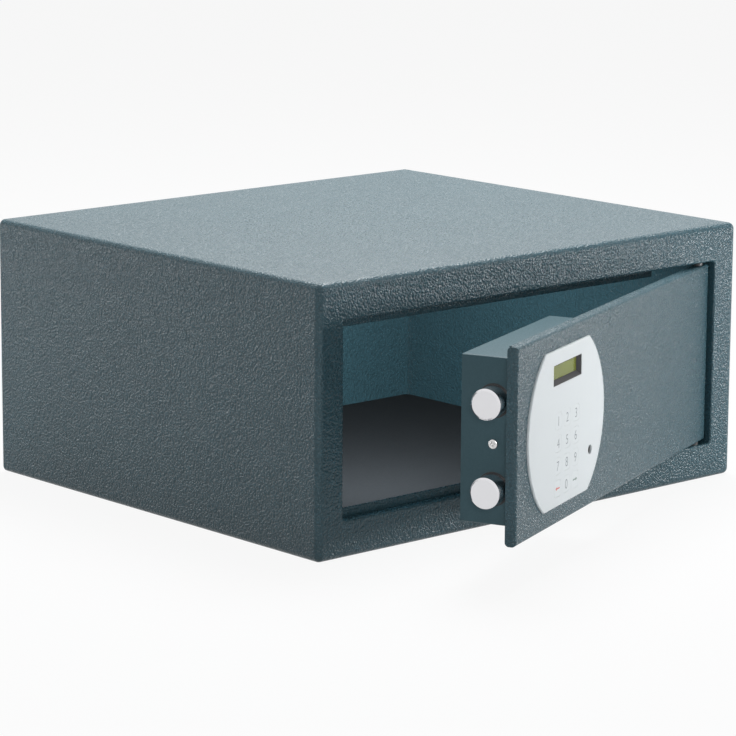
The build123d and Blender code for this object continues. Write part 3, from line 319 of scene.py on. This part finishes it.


# In the coats, the crease factor is painted shade: how far the base colour is darkened in the hollows between
# pebbles.
finishes = {
    "powder_coat": (coatMaterial, {
        "color": (0.039, 0.092, 0.115), "roughness": 0.27, "roughSpread": 0.05,
        "specular": 0.29, "mottleSize": 0.09, "mottle": 0.12,
        "grain": 0.0017, "skin": 0.18, "creaseShade": 0.72, "relief": 0.0006,
    }),
    "box_paint": (coatMaterial, {
        "color": (0.056, 0.106, 0.125), "roughness": 0.42, "roughSpread": 0.04,
        "specular": 0.15, "mottleSize": 0.06, "mottle": 0.12,
        "grain": 0.0012, "skin": 0.4, "creaseShade": 0.92, "relief": 0.00004,
    }),
    "zinc_steel": (metalMaterial, {
        "color": (0.55, 0.56, 0.58), "roughness": 0.38, "metallic": 1.0,
        "mottleSize": 0.01, "mottle": 0.25, "stretch": (900.0, 900.0, 300.0), "relief": 0.00002,
    }),
    "pin_steel": (metalMaterial, {
        "color": (0.50, 0.50, 0.51), "roughness": 0.28, "metallic": 1.0,
        "mottleSize": 0.02, "mottle": 0.1, "stretch": (60.0, 60.0, 2500.0), "relief": 0.00001,
    }),
    "screw_steel": (metalMaterial, {
        "color": (0.62, 0.62, 0.62), "roughness": 0.25, "metallic": 1.0,
        "mottleSize": 0.003, "mottle": 0.15, "stretch": (1500.0, 1500.0, 1500.0),
        "relief": 0.00001,
    }),
    "bolt_chrome": (metalMaterial, {
        "color": (0.72, 0.72, 0.74), "roughness": 0.22, "metallic": 1.0,
        "mottleSize": 0.01, "mottle": 0.06, "stretch": (900.0, 900.0, 2400.0), "relief": 0.00001,
    }),
    "bush_plastic": (plasticMaterial, {
        "color": (0.012, 0.013, 0.014), "roughness": 0.45,
        "mottleSize": 0.02, "mottle": 0.2, "skinScale": 3000.0, "relief": 0.00003,
    }),
    "gear_steel": (metalMaterial, {
        "color": (0.42, 0.42, 0.43), "roughness": 0.30, "metallic": 1.0,
        "mottleSize": 0.008, "mottle": 0.2, "stretch": (1200.0, 1200.0, 1200.0),
        "relief": 0.00001,
    }),
    "gearbox_plastic": (plasticMaterial, {
        "color": (0.030, 0.031, 0.034), "roughness": 0.52,
        "mottleSize": 0.02, "mottle": 0.2, "skinScale": 2400.0, "relief": 0.00005,
    }),
    "motor_steel": (metalMaterial, {
        "color": (0.58, 0.58, 0.57), "roughness": 0.30, "metallic": 1.0,
        "mottleSize": 0.01, "mottle": 0.15, "stretch": (200.0, 200.0, 2200.0), "relief": 0.00001,
    }),
    "fascia_plastic": (plasticMaterial, {
        "color": (0.625, 0.665, 0.680), "roughness": 0.42,
        "mottleSize": 0.05, "mottle": 0.03, "skinScale": 2600.0, "relief": 0.00002,
    }),
    "key_plastic": (plasticMaterial, {
        "color": (0.635, 0.675, 0.690), "roughness": 0.40,
        "mottleSize": 0.03, "mottle": 0.03, "skinScale": 2600.0, "relief": 0.00002,
    }),
    "bezel_plastic": (plasticMaterial, {
        "color": (0.050, 0.050, 0.052), "roughness": 0.50, "specular": 0.3,
        "mottleSize": 0.02, "mottle": 0.1, "skinScale": 2600.0, "relief": 0.00001,
    }),
    "display_glass": (plasticMaterial, {
        "color": (0.19, 0.21, 0.012), "roughness": 0.35, "specular": 0.05,
        "mottleSize": 0.02, "mottle": 0.12, "skinScale": 900.0, "relief": 0.000002,
    }),
    "keypad_silicone": (plasticMaterial, {
        "color": (0.33, 0.34, 0.35), "roughness": 0.55,
        "mottleSize": 0.02, "mottle": 0.08, "skinScale": 1500.0, "relief": 0.00003,
    }),
    "board_laminate": (plasticMaterial, {
        "color": (0.022, 0.13, 0.055), "roughness": 0.30,
        "mottleSize": 0.006, "mottle": 0.5, "skinScale": 1800.0, "relief": 0.00003,
    }),
    "lock_nickel": (metalMaterial, {
        "color": (0.13, 0.125, 0.12), "roughness": 0.42, "metallic": 1.0,
        "mottleSize": 0.005, "mottle": 0.15, "stretch": (1500.0, 1500.0, 1500.0),
        "relief": 0.00001,
    }),
    "battery_wrap": (plasticMaterial, {
        "color": (0.030, 0.032, 0.038), "roughness": 0.28,
        "mottleSize": 0.02, "mottle": 0.1, "skinScale": 900.0, "relief": 0.00001,
    }),
    "contact_nickel": (metalMaterial, {
        "color": (0.66, 0.65, 0.62), "roughness": 0.24, "metallic": 1.0,
        "mottleSize": 0.004, "mottle": 0.12, "stretch": (1500.0, 1500.0, 200.0),
        "relief": 0.00001,
    }),
}
materials = {name: make(name, settings) for name, (make, settings) in finishes.items()}


# A low index of refraction keeps the pale stage's reflection from washing out the display.
windowSettings = {
    "color": (0.94, 0.97, 0.95),
    "roughness": 0.03,
    "ior": 1.15,
    "dustScale": 700.0,
    "clean": 0.02,
    "dusty": 0.08,
}


def clearWindowMaterial():  # the display's clear window, with a faint haze of dust
    material, tree, shader = startMaterial("clear_window", windowSettings)
    shader.inputs["Transmission Weight"].default_value = 1.0
    shader.inputs["IOR"].default_value = windowSettings["ior"]
    dust = addNoise(tree, Scale=windowSettings["dustScale"], Detail=4.0).outputs["Fac"]
    haze = addRange(tree, dust, To_Min=windowSettings["clean"], To_Max=windowSettings["dusty"])
    tree.links.new(haze, shader.inputs["Roughness"])
    return material


feltSettings = {
    "color": (0.022, 0.025, 0.028),
    "roughness": 0.95,
    "specular": 0.1,
    "fibres": ((2600.0, 500.0, 2600.0), (500.0, 2600.0, 2600.0)),
    "tangle": {"From_Min": 0.35, "From_Max": 0.75, "To_Min": 0.5, "To_Max": 1.7},
    "relief": 0.0004,
}


def feltMaterial():  # needled felt: tangled fibres from two stretched noises, light and dark
    material, tree, shader = startMaterial("felt", feltSettings)
    fibres = [
        addPulledNoise(tree, stretch, Detail=4.0, Distortion=1.5)
        for stretch in feltSettings["fibres"]
    ]
    tangle = addMath(tree, "MAXIMUM", *fibres)
    shade = addRange(tree, tangle, **feltSettings["tangle"])
    tinted = addNode(tree, "ShaderNodeVectorMath", {"operation": "SCALE"})
    tinted.inputs[0].default_value = feltSettings["color"]
    tree.links.new(shade, tinted.inputs["Scale"])
    tree.links.new(tinted.outputs[0], shader.inputs["Base Color"])
    linkBump(tree, shader, tangle, feltSettings["relief"])
    return material


materials["clear_window"] = clearWindowMaterial()
materials["felt"] = feltMaterial()


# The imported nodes: each takes its slot's finish, and its rounded edges are shaded round.
# The window shrinks off the display behind it, so that no two faces lie in one plane.

smoothing = {
    "mergeDistance": 0.000005,
    "sharpAngle": math.radians(32),
    "normalWeight": 80,
    "windowShrink": -0.0001,
}


def dressNodes():
    slots = {part["node"]: part["material_slot"] for part in frame["record"]["subparts"]}
    for name, node in frame["nodes"].items():
        node.data.materials.clear()
        node.data.materials.append(materials[slots[name]])
        node.data.polygons.foreach_set("use_smooth", np.ones(len(node.data.polygons), bool))
        weld = node.modifiers.new("weld", "WELD")
        weld.merge_threshold = smoothing["mergeDistance"]
        if name == "display_window":
            shrink = node.modifiers.new("shrink", "DISPLACE")
            shrink.strength, shrink.mid_level = smoothing["windowShrink"], 0.0
        split = node.modifiers.new("split", "EDGE_SPLIT")
        split.split_angle = smoothing["sharpAngle"]
        weighted = node.modifiers.new("weighted", "WEIGHTED_NORMAL")
        weighted.weight = smoothing["normalWeight"]


dressNodes()
print("nodes dressed")


# Keypad prints: digits and two plain signs, a hair proud of the keys

keyPrint = {
    "digitSize": 0.0100,
    "thin": -0.00008,
    "lift": 0.00003,
    "grey": (0.19, 0.22, 0.24),
    "red": (0.62, 0.16, 0.13),
    "green": (0.17, 0.24, 0.21),
    "arrowLength": 0.0078,
    "arrowHeight": 0.0030,
    "arrowHead": 0.0026,
}


def inkMaterial(name, color):
    return plasticMaterial(name, {
        "color": color, "roughness": 0.5,
        "mottleSize": 0.004, "mottle": 0.15, "skinScale": 4000.0, "relief": 0.000004,
    })


inkGrey = inkMaterial("inkGrey", keyPrint["grey"])
inkRed = inkMaterial("inkRed", keyPrint["red"])
inkGreen = inkMaterial("inkGreen", keyPrint["green"])


def flatOnKey(points, body):  # sign points laid on the face of a key, centred on it
    points = np.asarray(points, float)[:, :2]
    corners = meshPoints(frame["nodes"][body].data)
    face = (corners @ intoDoor).min() - keyPrint["lift"]
    along = ((corners @ alongDoor).min() + (corners @ alongDoor).max()) / 2 + points[:, :1]
    height = (corners[:, 2].min() + corners[:, 2].max()) / 2 + points[:, 1:]
    return face * intoDoor + along * alongDoor + height * upward


def addDigit(digit):
    curve = bpy.data.curves.new("digitCurve", "FONT")
    curve.body = digit
    curve.size = keyPrint["digitSize"]
    curve.offset = keyPrint["thin"]
    curve.align_x, curve.align_y = "CENTER", "CENTER"
    holder = bpy.data.objects.new("digitHolder", curve)
    mesh = bpy.data.meshes.new_from_object(holder)
    points = meshPoints(mesh)
    points[:, :2] -= (points[:, :2].max(0) + points[:, :2].min(0)) / 2
    mesh.vertices.foreach_set("co", flatOnKey(points, "key_" + digit).ravel())
    mesh.materials.clear()
    mesh.materials.append(inkGrey)
    mesh.update()
    piece = bpy.data.objects.new("digit" + digit, mesh)
    bpy.context.scene.collection.objects.link(piece)
    bpy.data.objects.remove(holder)
    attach(piece, "key_" + digit)


def addArrow(name, body, way, material):  # a bar with a pointed head, as one flat outline
    tail, tip = -keyPrint["arrowLength"] / 2, keyPrint["arrowLength"] / 2
    neck = tip - keyPrint["arrowHead"]
    wide, thin = keyPrint["arrowHeight"] / 2, keyPrint["arrowHeight"] / 6
    outline = np.array([
        (tail, -thin), (neck, -thin), (neck, -wide), (tip, 0.0),
        (neck, wide), (neck, thin), (tail, thin),
    ])
    outline[:, 0] *= way
    faces = [range(len(outline))[::way]]
    points = flatOnKey(outline, body)
    addPiece(name, points, faces, material, body, smooth=False)


for digit in "1234567890":
    addDigit(digit)
addArrow("cancelSign", "key_cancel", -1, inkRed)
addArrow("confirmSign", "key_confirm", 1, inkGreen)
print("keypad printed")


# Cross-recessed screw heads. Rim and recess are shares of the height, slots of the radius.

screwHead = {
    "rings": 28,
    "spokes": 72,
    "rim": 0.62,
    "recess": 0.55,
    "slotWidth": 0.26,
    "slotReach": 0.62,
    "sideTaper": 1.6,
    "endTaper": 2.2,
}


def crossHead(radius, height):
    # A pan head over polar rings: a domed top, less a cross that tapers to its sides and ends.
    share = np.linspace(0, 1, screwHead["rings"])[:, None]
    turn = np.linspace(0, 2 * np.pi, screwHead["spokes"], endpoint=False)[None, :]
    x, y = share * np.cos(turn), share * np.sin(turn)
    rim = screwHead["rim"]
    top = height * (rim + (1 - rim) * np.sqrt(np.clip(1 - share**2, 0, 1)))
    arm = np.minimum(np.abs(x), np.abs(y)) / screwHead["slotWidth"]
    reach = np.maximum(np.abs(x), np.abs(y)) / screwHead["slotReach"]
    cut = np.clip(screwHead["sideTaper"] * (1 - arm), 0, 1)
    cut = cut * np.clip(screwHead["endTaper"] * (1 - reach), 0, 1)
    z = top - cut * height * screwHead["recess"]
    wall = np.stack([x[-1] * radius, y[-1] * radius, np.zeros(screwHead["spokes"])], -1)
    points = np.stack([x * radius, y * radius, z], -1).reshape(-1, 3)
    points = np.concatenate([points, wall])
    return points, gridFaces(screwHead["rings"] + 1, screwHead["spokes"])


def addScrews(name, screw, seats, outward, sideways, node):  # one mesh of several heads
    across = np.cross(outward, sideways)
    points, faces = crossHead(screw["headRadius"], screw["headHeight"])
    head = points[:, :1] * sideways + points[:, 1:2] * across + points[:, 2:] * outward
    allPoints = np.concatenate([seat + head for seat in seats])
    allFaces = np.concatenate([faces + index * len(points) for index in range(len(seats))])
    piece = addPiece(name, allPoints, allFaces, materials["screw_steel"], "door")
    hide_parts(node)


# Seats are given on the shut door: x, depth behind its face and z.

rodScrew = {
    "seat": (-0.1825, 0.0199, 0.100),
    "turned": math.radians(25),
    "headRadius": 0.0034,
    "headHeight": 0.0024,
}
coverScrews = {
    "x": (-0.176, -0.031),
    "depth": 0.0444,
    "z": (0.0493, 0.1543),
    "headRadius": 0.00255,
    "headHeight": 0.0020,
}
rodSide = np.cos(rodScrew["turned"]) * upward + np.sin(rodScrew["turned"]) * intoDoor
rodSeats = doorPlace([rodScrew["seat"]])
addScrews("guideRodScrewHead", rodScrew, rodSeats, -alongDoor, rodSide, "guide_rod_screw")
coverSeats = doorPlace([
    (x, coverScrews["depth"], z) for x in coverScrews["x"] for z in coverScrews["z"]
])
addScrews("coverScrewHeads", coverScrews, coverSeats, intoDoor, -alongDoor, "cover_screws")
print("screws cut")


# Stage, camera and lights

stageSettings = {"floorSize": 40.0, "floorColor": (0.50, 0.51, 0.52), "floorGlow": 0.92}


def seenDirectly(tree):  # one for camera, glossy and transmission rays, else zero
    path = addNode(tree, "ShaderNodeLightPath")
    seen = addMath(tree, "MAXIMUM", path.outputs["Is Camera Ray"], path.outputs["Is Glossy Ray"])
    return addMath(tree, "MAXIMUM", seen, path.outputs["Is Transmission Ray"])


def mixSurfaces(tree, share, first, second, outputKind):
    mix = addNode(tree, "ShaderNodeMixShader")
    tree.links.new(share, mix.inputs[0])
    tree.links.new(first.outputs[0], mix.inputs[1])
    tree.links.new(second.outputs[0], mix.inputs[2])
    tree.links.new(mix.outputs[0], addNode(tree, outputKind).inputs["Surface"])


def addFloor():  # a matte floor that looks pale to the camera without lighting the object more
    half = stageSettings["floorSize"] / 2
    corners = [(-half, -half, 0), (half, -half, 0), (half, half, 0), (-half, half, 0)]
    mesh = bpy.data.meshes.new("floor")
    mesh.from_pydata(corners, [], [(0, 1, 2, 3)])
    floor = bpy.data.objects.new("floor", mesh)
    bpy.context.scene.collection.objects.link(floor)
    material = bpy.data.materials.new("floorPale")
    material.use_nodes = True
    tree = material.node_tree
    tree.nodes.clear()
    matteColor = (*stageSettings["floorColor"], 1.0)
    matte = addNode(tree, "ShaderNodeBsdfDiffuse", values={"Color": matteColor})
    glowValues = {"Color": (1.0, 1.0, 1.0, 1.0), "Strength": 1.0}
    glow = addNode(tree, "ShaderNodeEmission", values=glowValues)
    share = addMath(tree, "MULTIPLY", seenDirectly(tree), stageSettings["floorGlow"])
    mixSurfaces(tree, share, matte, glow, "ShaderNodeOutputMaterial")
    mesh.materials.append(material)


cameraSettings = {
    "place": (-1.75738, -1.94993, 0.62082),
    "turn": (78.4377, -0.353, -41.9595),
    "lens": 167.808,
    "sensor": 36.0,
    "clipEnd": 100.0,
}


def addCamera():
    camera = bpy.data.cameras.new("camera")
    camera.sensor_width = cameraSettings["sensor"]
    camera.lens = cameraSettings["lens"]
    camera.clip_end = cameraSettings["clipEnd"]
    holder = bpy.data.objects.new("camera", camera)
    holder.location = cameraSettings["place"]
    holder.rotation_euler = [math.radians(angle) for angle in cameraSettings["turn"]]
    bpy.context.scene.collection.objects.link(holder)
    bpy.context.scene.camera = holder


lamps = {
    "above": {
        "place": (0.5, 0.35, 1.7), "aim": (0.1, 0.1, 0.2), "size": (1.0, 1.0), "power": 58.0,
    },
    "backLeft": {
        "place": (-0.62, 0.60, 0.14), "aim": (-0.2, 0.1, 0.14), "size": (0.26, 0.10), "power": 1.1,
    },
    "frontRight": {
        "place": (0.62, -0.74, 0.14), "aim": (0.14, -0.2, 0.14), "size": (0.26, 0.10), "power": 4.4,
    },
    "rightSide": {
        "place": (1.3, -0.3, 0.14), "aim": (0.1, -0.2, 0.14), "size": (0.5, 0.10), "power": 0.5,
    },
    "fill": {
        "place": (-1.8, -2.2, 0.95), "aim": (0.0, 0.0, 0.1), "size": (0.8, 0.8), "power": 18.0,
    },
    "inside": {
        "place": (-0.06, -0.155, 0.155), "aim": (-0.05, 0.18, 0.165), "size": (0.04, 0.04),
        "power": 2.1,
    },
}


def addLamps():
    for name, lamp in lamps.items():
        light = bpy.data.lights.new(name, "AREA")
        light.shape, light.energy = "RECTANGLE", lamp["power"]
        light.size, light.size_y = lamp["size"]
        holder = bpy.data.objects.new(name, light)
        holder.location = lamp["place"]
        holder.visible_camera = False
        look = Vector(lamp["aim"]) - Vector(lamp["place"])
        holder.rotation_euler = look.to_track_quat("-Z", "Y").to_euler()
        bpy.context.scene.collection.objects.link(holder)


worldSettings = {"strength": 0.11, "color": (0.95, 0.98, 1.0)}


def addWorld():  # a soft light all round, seen as white
    world = bpy.data.worlds.new("world")
    world.use_nodes = True
    bpy.context.scene.world = world
    tree = world.node_tree
    tree.nodes.clear()
    softValues = {"Color": (*worldSettings["color"], 1.0), "Strength": worldSettings["strength"]}
    soft = addNode(tree, "ShaderNodeBackground", values=softValues)
    whiteValues = {"Color": (1.0, 1.0, 1.0, 1.0), "Strength": 1.0}
    white = addNode(tree, "ShaderNodeBackground", values=whiteValues)
    mixSurfaces(tree, seenDirectly(tree), soft, white, "ShaderNodeOutputWorld")


addFloor()
addCamera()
addLamps()
addWorld()
bpy.context.scene.view_settings.view_transform = "Standard"
print("stage set")
